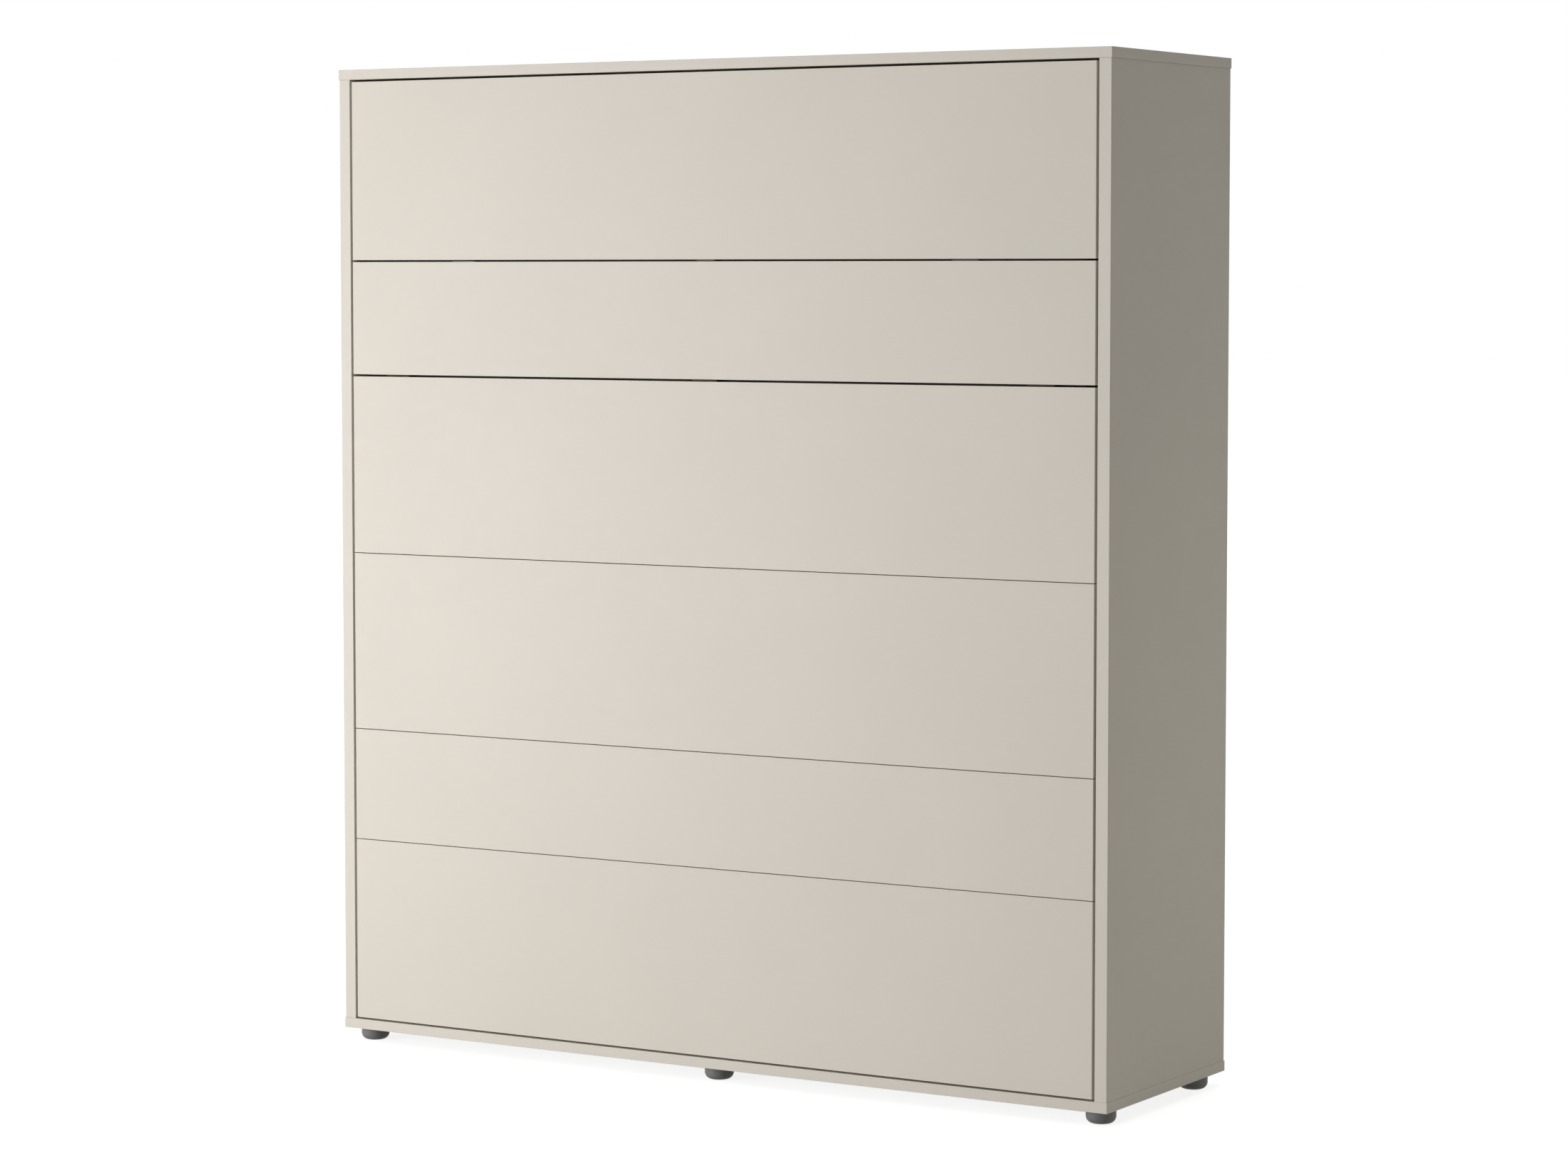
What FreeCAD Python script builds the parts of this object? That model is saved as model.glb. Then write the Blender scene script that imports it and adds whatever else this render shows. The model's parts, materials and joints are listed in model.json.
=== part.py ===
import FreeCAD, Part
import math
import os
import re
import Sketcher

# A vertical wall bed, closed: a cabinet, a folding bed whose underside is the cabinet's front,
# a support leg that folds out of that front, and two gas springs.
# Frame: millimetres, +Z up, +X to the right seen from the front, the front faces -Y,
# and the origin is on the floor under the middle of the cabinet.

Vector = FreeCAD.Vector
Rotation = FreeCAD.Rotation
Placement = FreeCAD.Placement

SIZES = {
    # mattress, which the cabinet is built around
    "mattress_width": 1800,
    "mattress_length": 2000,
    "mattress_thickness": 200,
    "mattress_round": 30,
    "mattress_gap": 0.5,
    "mattress_headroom": 72.5,
    # cabinet boards
    "side_board": 28,
    "end_board": 22,
    "end_overhang": 1.5,
    "back_board": 22,
    "edge_round": 1,
    "mechanism_space": 33,
    "bedding_depth": 240.5,
    "upper_rail_height": 300,
    "lower_rail_height": 180,
    "headboard_base": 505,
    "headboard_height": 400,
    "headboard_gap": 17,
    "wall_hole_diameter": 9,
    "wall_hole_spacing": 1400,
    "wall_hole_drop": 80,
    "cam_diameter": 15,
    "cam_depth": 12,
    "cam_clearance": 0.05,
    "cam_edge": 34,
    "cam_inset": 60,
    "cam_side_inset": 160,
    # feet
    "foot_height": 31,
    "foot_diameter": 63,
    "foot_round": 15,
    "foot_side_inset": 41,
    "foot_front_inset": 56.5,
    "foot_back_inset": 65.5,
    "foot_recess": 8,
    "foot_recess_diameter": 14,
    # front boards
    "front_board": 18,
    "side_gap": 5.5,
    "top_gap": 5,
    "bottom_gap": 4,
    "panel_seam": 1.5,
    "hinge_seam": 4.6,
    "leg_seam": 4,
    "lower_panel_height": 247.5,
    "leg_panel_height": 249.75,
    "bottom_panel_extra": 10.55,
    "top_panel_extra": 1.3,
    # support leg
    "leg_back_gap": 0.5,
    "leg_glide": 2.5,
    "glide_length": 60,
    "glide_width": 12,
    "glide_round": 0.6,
    "glide_side_inset": 300,
    "hinge_inset": 2.1,
    "hinge_rise": 2.5,
    "hinge_length": 60,
    "hinge_middle": 20,
    "hinge_side_inset": 122.5,
    "hinge_play": 0.2,
    "knuckle_radius": 1.9,
    "hinge_pin_diameter": 2,
    "leaf_thickness": 1.2,
    "leaf_depth": 13,
    "mortise_clearance": 0.1,
    "catch_length": 44,
    "catch_inset": 5,
    "catch_width": 10,
    "catch_height": 12,
    "catch_proud": 3.3,
    "strike_thickness": 1.5,
    # bed frame
    "rail_width": 30,
    "rail_depth": 50,
    "rail_wall": 2,
    "rail_corner": 3,
    "frame_inset": 6,
    "cap_thickness": 3,
    "cap_spigot": 12,
    "cap_clearance": 0.1,
    "bracket_length": 30,
    "bracket_height": 25,
    "bracket_thickness": 2,
    "bracket_inset": 60,
    "bracket_hole": 18,
    "stop_tube": 16,
    "stop_width": 180,
    "stop_reach": 140,
    "stop_bend": 35,
    "stop_spacing": 900,
    # slats
    "slat_rows": 14,
    "slat_width": 60,
    "slat_thickness": 8,
    "slat_camber": 10,
    "slat_seat": 2,
    "slat_inset": 110,
    "slat_clearance": 0.4,
    "slat_end_gap": 0.5,
    "holder_length": 40,
    "holder_back": 16,
    "holder_height": 14,
    "holder_slot": 10,
    "holder_wall": 6,
    # mattress straps
    "strap_width": 50,
    "strap_thickness": 2,
    "strap_gap": 0.3,
    "strap_low_inset": 620,
    "strap_high_inset": 440,
    "strap_tail": 12,
    "anchor_thickness": 1.5,
    "anchor_height": 30,
    "rivet_diameter": 5,
    "rivet_spacing": 26,
    "buckle_length": 60,
    "buckle_thickness": 9,
    "buckle_border": 9,
    # pivots and gas springs
    "pivot_setback": 36,
    "pivot_plate": 3,
    "plate_margin": 22,
    "plate_drop": 60,
    "plate_rise": 33,
    "plate_screw_inset": 14,
    "plate_screw_drop": 45,
    "plate_screw_pitch": 60,
    "plate_corner": 8,
    "arm_plate": 5,
    "arm_rise": 262,
    "arm_margin": 14,
    "arm_corner": 12,
    "arm_front_gap": 1.5,
    "pin_diameter": 14,
    "pin_collar": 20,
    "bush_diameter": 18,
    "bush_length": 21,
    "fit_clearance": 0.05,
    "running_gap": 0.3,
    "stud_height": 43,
    "spring_angle": 82.5,
    "cylinder_diameter": 22,
    "cylinder_wall": 1.5,
    "cylinder_cap": 6,
    "rod_diameter": 10,
    "piston_length": 10,
    "slide_gap": 0.3,
    "cylinder_end_room": 26,
    "rod_end_room": 19,
    "eye_diameter": 20,
    "eye_width": 12,
    "stud_diameter": 8,
    "stud_shoulder": 12,
    "stud_head": 2,
    # stops that the closed bed leans on
    "buffer_diameter": 20,
    "buffer_thickness": 5,
    "stop_plate": 3,
    "stop_height": 28,
    "stop_foot": 60,
    "stop_screw_first": 24,
    "stop_screw_pitch": 24,
    "stop_clearance": 30,
    "stop_overlap": 28,
    # fasteners
    "wood_screw": 5,
    "wood_screw_head": 9,
    "wood_screw_head_height": 2,
    "wood_screw_grip": 14,
    "panel_screw": 4,
    "panel_screw_grip": 12,
    "bolt_diameter": 8,
    "bolt_head": 13,
    "bolt_head_height": 5.3,
    "bolt_grip": 12,
    "bolt_front_inset": 12.5,
    "bolt_first": 60,
    "bolt_pitch": 85,
}

# Places worked out from those sizes, each written once. Names in a formula are sizes or other places.
PLACES = {
    "inner_half": "mattress_width / 2 + mechanism_space",
    "outer_half": "inner_half + side_board",
    "slat_build": "slat_seat + slat_thickness + slat_camber + mattress_gap",
    "bed_depth": "front_board + rail_depth + slat_build + mattress_thickness",
    "carcass_depth": "bed_depth + bedding_depth + back_board",
    "front_face": "-carcass_depth / 2",
    "back_face": "carcass_depth / 2",
    "back_inner": "back_face - back_board",
    "floor_top": "foot_height + end_board",
    # bed frame, slats and mattress: these set the cabinet's height
    "panel_half": "inner_half - side_gap",
    "front_inner": "front_face + front_board",
    "bottom_panel_base": "floor_top + bottom_gap",
    "rail_outer": "mattress_width / 2",
    "rail_inner": "rail_outer - rail_width",
    "rail_back": "front_inner + rail_depth",
    "frame_base": "bottom_panel_base + frame_inset",
    "stop_z": "frame_base + rail_width / 2",
    "mattress_base": "stop_z + stop_tube / 2 + mattress_gap",
    "mattress_top": "mattress_base + mattress_length",
    "mattress_front": "rail_back + slat_build",
    "mattress_back": "mattress_front + mattress_thickness",
    "ceiling": "mattress_top + mattress_headroom",
    "carcass_top": "ceiling + end_board",
    # front boards, from the bottom up: four wide ones share what the two narrow ones leave
    "top_panel_top": "ceiling - top_gap",
    "narrow_panels": "lower_panel_height + leg_panel_height",
    "seams": "3 * panel_seam + hinge_seam + leg_seam",
    "extras": "bottom_panel_extra + top_panel_extra",
    "wide_panel": "(top_panel_top - bottom_panel_base - narrow_panels - seams - extras) / 4",
    "bottom_panel_top": "bottom_panel_base + wide_panel + bottom_panel_extra",
    "lower_panel_base": "bottom_panel_top + panel_seam",
    "lower_panel_top": "lower_panel_base + lower_panel_height",
    "middle_panel_base": "lower_panel_top + panel_seam",
    "middle_panel_top": "middle_panel_base + wide_panel",
    "upper_panel_base": "middle_panel_top + panel_seam",
    "upper_panel_top": "upper_panel_base + wide_panel",
    "leg_base": "upper_panel_top + hinge_seam",
    "leg_top": "leg_base + leg_panel_height",
    "top_panel_base": "leg_top + leg_seam",
    # slats
    "frame_top": "top_panel_top - frame_inset",
    "first_slat": "frame_base + slat_inset",
    "slat_pitch": "(frame_top - frame_base - 2 * slat_inset) / (slat_rows - 1)",
    "slat_inner": "holder_back / 2 + slat_end_gap",
    "slat_outer": "rail_outer - holder_back - slat_end_gap",
    "slat_half": "(slat_outer - slat_inner) / 2",
    "slat_radius": "(slat_half * slat_half + slat_camber * slat_camber) / (2 * slat_camber)",
    # straps
    "strap_low": "mattress_base + strap_low_inset",
    "strap_high": "mattress_top - strap_high_inset",
    "strap_side": "rail_outer + strap_gap",
    "strap_back": "mattress_back + strap_gap",
    "strap_end": "front_inner + strap_tail",
    # leg hinge: with the bed down, the leg hangs from this axis and stands on the floor
    "hinge_y": "front_face + hinge_inset",
    "hinge_z": "upper_panel_top + hinge_rise",
    "leg_reach": "leg_panel_height + leg_glide + hinge_seam - hinge_rise",
    "hinge_x": "panel_half - hinge_side_inset",
    "leaf_start": "knuckle_radius - leaf_thickness",
    "catch_y": "front_face + catch_inset",
    # bed pivot and gas springs: both studs lie at the same distance from the pivot
    "pivot_y": "front_face + pivot_setback",
    "pivot_z": "leg_reach + pivot_setback - hinge_inset",
    "lower_stud_z": "floor_top + stud_height",
    "stud_rise": "pivot_z - (lower_stud_z)",
    "upper_stud_z": "pivot_z + stud_rise",
    "spring_arm": "stud_rise / sin(spring_angle * 1 deg)",
    "spring_y": "pivot_y + stud_rise / tan(spring_angle * 1 deg)",
    "spring_shut": "2 * spring_arm * sin((spring_angle - 45) * 1 deg)",
    "cylinder_reach": "spring_shut - cylinder_end_room",
    "rod_reach": "spring_shut - rod_end_room",
    "arm_outer": "rail_outer + arm_plate",
    "plate_inner": "inner_half - pivot_plate",
    "spring_x": "(arm_outer + plate_inner) / 2",
    "eye_low": "spring_x - eye_width / 2",
    "eye_high": "spring_x + eye_width / 2",
    # closed-bed stops
    "stop_base": "mattress_top + stop_clearance",
    "buffer_front": "rail_back + running_gap",
    "stop_front": "buffer_front + buffer_thickness",
    "stop_inner": "rail_outer - stop_overlap",
}

doc = FreeCAD.newDocument("wall_bed")
dims = doc.addObject("Spreadsheet::Sheet", "dims")
for row, (alias, size) in enumerate(SIZES.items(), start=1):
    dims.set(f"A{row}", alias)
    dims.set(f"B{row}", str(size))
    dims.setAlias(f"B{row}", alias)
guess = doc.addObject("Spreadsheet::Sheet", "guess")
doc.recompute()

sub_parts = []


def formula(text):
    """The expression on the sheet's cells that a formula in plain names stands for."""
    def spelled(match):
        name = match.group(0)
        if name in SIZES:
            return f"dims.{name}"
        if name in PLACES:
            return f"({formula(PLACES[name])})"
        return name
    return re.sub(r"[a-z_]+[a-z_0-9]*", spelled, text)


def number(text):
    """The present value of a formula, for the first guess of a sketch point."""
    guess.set("A1", f"={formula(text)}")
    guess.recompute()
    return float(guess.get("A1"))


def bind(thing, prop, text):
    thing.setExpression(prop, formula(text))


def put(thing, x="0", y="0", z="0", turn=None):
    """Places a thing at formulas for x, y and z, after an optional fixed turn."""
    if turn is not None:
        thing.Placement = Placement(Vector(), turn)
    for axis, text in zip("xyz", (x, y, z)):
        bind(thing, f"Placement.Base.{axis}", text)
    return thing


def keep(label, thing):
    """Makes a thing a sub-part of the bed, under its own label."""
    thing.Label = label
    sub_parts.append(thing)
    return thing


# Solids

def block(name, x, y, z):
    """A box between pairs of formulas along each axis."""
    box = doc.addObject("Part::Box", name)
    for prop, (low, high) in zip(("Length", "Width", "Height"), (x, y, z)):
        bind(box, prop, f"{high} - ({low})")
    return put(box, x[0], y[0], z[0])


def round_bar(name, axis, span, across, diameter):
    """A cylinder along an axis: its span there, and its centre on the other two axes."""
    turns = {"x": Rotation(Vector(0, 1, 0), 90), "y": Rotation(Vector(1, 0, 0), -90), "z": Rotation()}
    places = {"x": (span[0], *across), "y": (across[0], span[0], across[1]), "z": (*across, span[0])}
    bar = doc.addObject("Part::Cylinder", name)
    bind(bar, "Radius", f"({diameter}) / 2")
    bind(bar, "Height", f"{span[1]} - ({span[0]})")
    return put(bar, *places[axis], turn=turns[axis])


def group(name, things):
    compound = doc.addObject("Part::Compound", name)
    compound.Links = things
    return compound


def fuse(name, things):
    joined = doc.addObject("Part::MultiFuse", name)
    joined.Shapes = things
    return joined


def cut(name, base, tools):
    result = doc.addObject("Part::Cut", name)
    result.Base = base
    result.Tool = tools[0] if len(tools) == 1 else group(f"{name}_tools", tools)
    return result


def mirror(name, source):
    """The same thing on the other side of the bed's middle plane."""
    image = doc.addObject("Part::Mirroring", name)
    image.Source = source
    image.Normal = Vector(1, 0, 0)
    return image


def pair(name, right):
    """A right-hand thing together with its mirror image on the left."""
    one = group(f"{name}_right", [right])
    return group(name, [one, mirror(f"{name}_left", one)])


def copy_at(name, source, x, y, z, turn=None):
    link = doc.addObject("App::Link", name)
    link.LinkedObject = source
    return put(link, x, y, z, turn)


# Sketched bodies

def origin_feature(body, role):
    return next(item for item in body.Origin.OriginFeatures if item.Role == role)


def sketch_on(body, role, name, offset="0"):
    sketch = body.newObject("Sketcher::SketchObject", name)
    sketch.AttachmentSupport = [(origin_feature(body, role), "")]
    sketch.MapMode = "FlatFace"
    bind(sketch, "AttachmentOffset.Base.z", offset)
    return sketch


def size_constraint(sketch, kind, *where, text):
    index = sketch.addConstraint(Sketcher.Constraint(kind, *where, number(text)))
    bind(sketch, f"Constraints[{index}]", text)


def fix_point(sketch, geometry, point, x, y):
    size_constraint(sketch, "DistanceX", -1, 1, geometry, point, text=x)
    size_constraint(sketch, "DistanceY", -1, 1, geometry, point, text=y)


def polygon(sketch, corners):
    """A closed outline through corners given as pairs of formulas."""
    points = [Vector(number(x), number(y), 0) for x, y in corners]
    first = sketch.GeometryCount
    count = len(points)
    for i in range(count):
        sketch.addGeometry(Part.LineSegment(points[i], points[(i + 1) % count]))
    for i in range(count):
        sketch.addConstraint(Sketcher.Constraint("Coincident", first + i, 2, first + (i + 1) % count, 1))
        fix_point(sketch, first + i, 1, *corners[i])


def rectangle(sketch, x, y):
    polygon(sketch, [(x[0], y[0]), (x[1], y[0]), (x[1], y[1]), (x[0], y[1])])


def rounded_rectangle(sketch, x, y, radius):
    """A rectangle between pairs of formulas, with its corners as tangent arcs."""
    first = sketch.GeometryCount
    left, right = f"{x[0]} + {radius}", f"{x[1]} - ({radius})"
    low, high = f"{y[0]} + {radius}", f"{y[1]} - ({radius})"
    centres = [(right, high), (left, high), (left, low), (right, low)]
    size = number(radius)
    arcs = []
    for quarter, (cx, cy) in enumerate(centres):
        circle = Part.Circle(Vector(number(cx), number(cy), 0), Vector(0, 0, 1), size)
        start = quarter * math.pi / 2
        arcs.append(Part.ArcOfCircle(circle, start, start + math.pi / 2))
    for arc in arcs:
        sketch.addGeometry(arc)
    for i in range(4):
        sketch.addGeometry(Part.LineSegment(arcs[i].EndPoint, arcs[(i + 1) % 4].StartPoint))
    for i in range(4):
        sketch.addConstraint(Sketcher.Constraint("Tangent", first + i, 2, first + 4 + i, 1))
        sketch.addConstraint(Sketcher.Constraint("Tangent", first + 4 + i, 2, first + (i + 1) % 4, 1))
        fix_point(sketch, first + i, 3, *centres[i])
        size_constraint(sketch, "Radius", first + i, text=radius)


def circle(sketch, x, y, diameter):
    radius = f"({diameter}) / 2"
    ring = Part.Circle(Vector(number(x), number(y), 0), Vector(0, 0, 1), number(radius))
    index = sketch.addGeometry(ring)
    fix_point(sketch, index, 3, x, y)
    size_constraint(sketch, "Radius", index, text=radius)


def pad(body, sketch, length):
    feature = body.newObject("PartDesign::Pad", f"{body.Name}_pad")
    feature.Profile = sketch
    bind(feature, "Length", length)
    return feature


def rounded_board(name, x, y, z, radius="edge_round"):
    """A board between pairs of formulas, with every edge rounded."""
    body = doc.addObject("PartDesign::Body", name)
    sketch = sketch_on(body, "XY_Plane", f"{name}_outline", z[0])
    rectangle(sketch, x, y)
    slab = pad(body, sketch, f"{z[1]} - ({z[0]})")
    doc.recompute()
    edges = body.newObject("PartDesign::Fillet", f"{name}_edges")
    edges.Base = (slab, [""])
    edges.UseAllEdges = True
    bind(edges, "Radius", radius)
    return body


def tube(name, role, x, y, span):
    """A hollow rectangular tube along the normal of an origin plane."""
    body = doc.addObject("PartDesign::Body", name)
    sketch = sketch_on(body, role, f"{name}_section", span[0])
    rounded_rectangle(sketch, x, y, "rail_corner")
    inside = [(f"{low} + rail_wall", f"{high} - (rail_wall)") for low, high in (x, y)]
    rounded_rectangle(sketch, *inside, "rail_corner / 2")
    pad(body, sketch, f"{span[1]} - ({span[0]})")
    return body


def plate(name, x, y, z, radius, holes):
    """A flat plate across X with rounded corners and round holes, each (y, z, diameter)."""
    body = doc.addObject("PartDesign::Body", name)
    sketch = sketch_on(body, "YZ_Plane", f"{name}_outline", x[0])
    rounded_rectangle(sketch, y, z, radius)
    for hole in holes:
        circle(sketch, *hole)
    pad(body, sketch, f"{x[1]} - ({x[0]})")
    return body


def turned(name, corners):
    """A solid turned about Z from an outline of (radius, height) corners."""
    body = doc.addObject("PartDesign::Body", name)
    sketch = sketch_on(body, "XZ_Plane", f"{name}_profile")
    polygon(sketch, corners)
    feature = body.newObject("PartDesign::Revolution", f"{name}_turn")
    feature.Profile = sketch
    feature.ReferenceAxis = (origin_feature(body, "Z_Axis"), [""])
    feature.Angle = 360
    return body


ALONG_X = Rotation(Vector(0, 1, 0), 90)
UPSIDE_DOWN = Rotation(Vector(0, 1, 0), 180)


# Cabinet

POCKET = "cam_diameter + 2 * cam_clearance"


def cam_at_side(name, y, z, diameter):
    """A cam lock, or its pocket, in the inner face of the right side board."""
    return round_bar(name, "x", ("inner_half", "inner_half + cam_depth"), (y, z), diameter)


def cam_at_back(name, x, z, face, diameter):
    """A cam lock, or its pocket, in the back face of a board across the cabinet."""
    return round_bar(name, "y", (f"{face} - cam_depth", face), (x, z), diameter)


SIDE_CAMS = [(y, z) for y in ("front_face + cam_side_inset", "back_face - (cam_side_inset)")
             for z in ("floor_top + cam_edge", "ceiling - (cam_edge)")]


def back_board_spans():
    """Name, depth and height of each board that ties the two sides together."""
    at_wall = ("back_inner", "back_face")
    behind_pillow = ("mattress_back + headboard_gap", "mattress_back + headboard_gap + back_board")
    return {
        "upper_back_rail": (at_wall, ("ceiling - (upper_rail_height)", "ceiling")),
        "headboard": (behind_pillow, ("headboard_base", "headboard_base + headboard_height")),
        "lower_back_rail": (at_wall, ("floor_top", "floor_top + lower_rail_height")),
    }


def make_sides():
    board = rounded_board("right_side_board", ("inner_half", "outer_half"), ("front_face", "back_face"),
                          ("floor_top", "ceiling"))
    pockets = [cam_at_side(f"side_cam_pocket_{i}", y, z, POCKET) for i, (y, z) in enumerate(SIDE_CAMS)]
    right = keep("right_side", cut("right_side_cut", board, pockets))
    keep("left_side", mirror("left_side_mirror", right))


def make_end_boards():
    x = ("-(outer_half + end_overhang)", "outer_half + end_overhang")
    y = ("front_face - (end_overhang)", "back_face + end_overhang")
    keep("top_board", rounded_board("top_board_body", x, y, ("ceiling", "carcass_top")))
    keep("bottom_board", rounded_board("bottom_board_body", x, y, ("foot_height", "floor_top")))


def make_back_boards():
    wall_heights = {"upper_back_rail": "ceiling - (wall_hole_drop)",
                    "lower_back_rail": "floor_top + lower_rail_height / 2"}
    cams = []
    for label, (y, z) in back_board_spans().items():
        board = rounded_board(f"{label}_board", ("-(inner_half)", "inner_half"), y, z)
        tools = []
        for side in ("", "-"):
            for height in (f"{z[0]} + cam_inset", f"{z[1]} - (cam_inset)"):
                x = f"{side}(inner_half - cam_edge)"
                spot = len(tools)
                tools.append(cam_at_back(f"{label}_pocket_{spot}", x, height, y[1], POCKET))
                cams.append(cam_at_back(f"{label}_cam_{spot}", x, height, y[1], "cam_diameter"))
        if label in wall_heights:
            for side in ("", "-"):
                x = f"{side}(wall_hole_spacing / 2)"
                tools.append(round_bar(f"{label}_wall_hole{side}", "y", (f"{y[0]} - 1", f"{y[1]} + 1"),
                                       (x, wall_heights[label]), "wall_hole_diameter"))
        keep(label, cut(f"{label}_cut", board, tools))
    for i, (y, z) in enumerate(SIDE_CAMS):
        right = cam_at_side(f"side_cam_{i}", y, z, "cam_diameter")
        cams += [right, mirror(f"side_cam_left_{i}", right)]
    keep("cam_locks", group("cam_locks_group", cams))


def make_feet():
    """Round plastic feet, each held by a screw in a recess under it."""
    radius, recess, hole = "foot_diameter / 2", "foot_recess_diameter / 2", "wood_screw / 2 + fit_clearance"
    foot = turned("foot", [(recess, "0"), (radius, "0"), (radius, "foot_height"), (hole, "foot_height"),
                           (hole, "foot_recess"), (recess, "foot_recess")])
    doc.recompute()
    rim = number(radius)
    turn = foot.Tip
    edges = [f"Edge{i}" for i, edge in enumerate(turn.Shape.Edges, start=1)
             if isinstance(edge.Curve, Part.Circle) and abs(edge.Curve.Radius - rim) < 0.01
             and edge.BoundBox.ZMax < 0.01]
    rounding = foot.newObject("PartDesign::Fillet", "foot_rounding")
    rounding.Base = (turn, edges)
    bind(rounding, "Radius", "foot_round")
    head, shank = "wood_screw_head / 2", "wood_screw / 2"
    screw = turned("foot_screw", [("0", "foot_recess - wood_screw_head_height"),
                                  (head, "foot_recess - wood_screw_head_height"), (head, "foot_recess"),
                                  (shank, "foot_recess"), (shank, "foot_height + wood_screw_grip"),
                                  ("0", "foot_height + wood_screw_grip")])
    feet, screws = [], []
    for y in ("front_face + foot_front_inset", "back_face - (foot_back_inset)"):
        for x in ("-(outer_half - foot_side_inset)", "0", "outer_half - foot_side_inset"):
            feet.append(copy_at(f"foot_{len(feet)}", foot, x, y, "0"))
            screws.append(copy_at(f"foot_screw_{len(screws)}", screw, x, y, "0"))
    keep("feet", group("feet_group", feet))
    keep("foot_screws", group("foot_screws_group", screws))


PLATE_FRONT = "pivot_y - plate_screw_inset"
PLATE_SCREWS = [
    (PLATE_FRONT, "pivot_z - plate_screw_drop"),
    (PLATE_FRONT, "pivot_z + plate_screw_pitch"),
    (PLATE_FRONT, "pivot_z + 2 * plate_screw_pitch"),
    (PLATE_FRONT, "upper_stud_z + plate_margin"),
    ("spring_y + plate_screw_inset", "upper_stud_z + plate_margin"),
]


def side_screw(name, y, z, face):
    """A pan-head screw driven outwards into the right side board, its head on the given face."""
    shank = round_bar(f"{name}_shank", "x", (face, "inner_half + wood_screw_grip"), (y, z), "wood_screw")
    head_span = (f"{face} - wood_screw_head_height", face)
    head = round_bar(f"{name}_head", "x", head_span, (y, z), "wood_screw_head")
    return fuse(name, [shank, head])


def make_pivot_plates():
    fit = "2 * fit_clearance"
    holes = [(y, z, f"wood_screw + {fit}") for y, z in PLATE_SCREWS]
    holes.append(("pivot_y", "pivot_z", f"pin_diameter + {fit}"))
    holes.append(("spring_y", "upper_stud_z", f"stud_diameter + {fit}"))
    right = plate("right_pivot_plate_body", ("plate_inner", "inner_half"),
                  ("pivot_y - plate_margin", "spring_y + plate_margin"),
                  ("pivot_z - plate_drop", "upper_stud_z + plate_rise"), "plate_corner", holes)
    keep("right_pivot_plate", right)
    keep("left_pivot_plate", mirror("left_pivot_plate_mirror", right))
    screws = group("right_plate_screws", [side_screw(f"plate_screw_{i}", y, z, "plate_inner")
                                          for i, (y, z) in enumerate(PLATE_SCREWS)])
    keep("pivot_plate_screws", pair("pivot_plate_screws_group", screws))


def make_pivot_pins():
    """Shouldered pins: the thin end turns in the arm's bush, the collar spaces the bed off the plate."""
    pin, collar = "pin_diameter / 2", "pin_collar / 2"
    shoulder = "arm_outer + running_gap"
    profile = [("0", "rail_outer - (bush_length)"), (pin, "rail_outer - (bush_length)"), (pin, shoulder),
               (collar, shoulder), (collar, "plate_inner"), (pin, "plate_inner"), (pin, "inner_half"),
               ("0", "inner_half")]
    right = copy_at("right_pivot_pin", turned("pivot_pin", profile), "0", "pivot_y", "pivot_z", ALONG_X)
    keep("pivot_pins", pair("pivot_pins_group", right))


def make_upper_studs():
    thin, shoulder = "stud_diameter / 2", "stud_shoulder / 2"
    inner_end = "eye_low - running_gap"
    outer_end = "eye_high + running_gap"
    tip = f"{inner_end} - stud_head"
    profile = [("0", tip), (shoulder, tip), (shoulder, inner_end), (thin, inner_end), (thin, outer_end),
               (shoulder, outer_end), (shoulder, "plate_inner"), (thin, "plate_inner"), (thin, "inner_half"),
               ("0", "inner_half")]
    stud = turned("upper_stud", profile)
    right = copy_at("right_upper_stud", stud, "0", "spring_y", "upper_stud_z", ALONG_X)
    keep("upper_spring_studs", pair("upper_spring_studs_group", right))


def make_closed_stops():
    """Angle brackets near the top of the sides, with rubber buffers that the closed bed leans on."""
    z = ("stop_base", "stop_base + stop_height")
    middle = "stop_base + stop_height / 2"
    foot = block("stop_foot_plate", ("inner_half - stop_plate", "inner_half"),
                 ("stop_front", "stop_front + stop_foot"), z)
    arm = block("stop_arm_plate", ("stop_inner", "inner_half"), ("stop_front", "stop_front + stop_plate"), z)
    spots = [f"stop_front + stop_screw_first + {i} * stop_screw_pitch" for i in range(2)]
    holes = [round_bar(f"stop_hole_{i}", "x", ("inner_half - stop_plate - 1", "inner_half + 1"), (y, middle),
                       "wood_screw + 2 * fit_clearance") for i, y in enumerate(spots)]
    bracket = cut("right_stop_bracket", fuse("stop_angle", [foot, arm]), holes)
    keep("stop_brackets", pair("stop_brackets_group", bracket))
    screws = group("right_stop_screws", [side_screw(f"stop_screw_{i}", y, middle, "inner_half - stop_plate")
                                         for i, y in enumerate(spots)])
    keep("stop_bracket_screws", pair("stop_bracket_screws_group", screws))
    buffer = round_bar("right_buffer", "y", ("buffer_front", "stop_front"),
                       ("rail_outer - rail_width / 2", middle), "buffer_diameter")
    keep("stop_buffers", pair("stop_buffers_group", buffer))


# Front boards and support leg

FRONT_PANELS = {
    "bottom_front_panel": ("bottom_panel_base", "bottom_panel_top"),
    "lower_front_panel": ("lower_panel_base", "lower_panel_top"),
    "middle_front_panel": ("middle_panel_base", "middle_panel_top"),
    "upper_front_panel": ("upper_panel_base", "upper_panel_top"),
    "top_front_panel": ("top_panel_base", "top_panel_top"),
}
HINGE_PLACES = ("-(hinge_x)", "0", "hinge_x")


def hinge_mortises(name, z):
    """Shallow recesses for the hinge leaves, at the three hinges."""
    tools = []
    for i, x in enumerate(HINGE_PLACES):
        reach = "(hinge_length / 2 + mortise_clearance)"
        tools.append(block(f"{name}_{i}", (f"{x} - {reach}", f"{x} + {reach}"),
                           ("hinge_y + leaf_start - mortise_clearance",
                            "hinge_y + leaf_depth + mortise_clearance"), z))
    return tools


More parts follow.
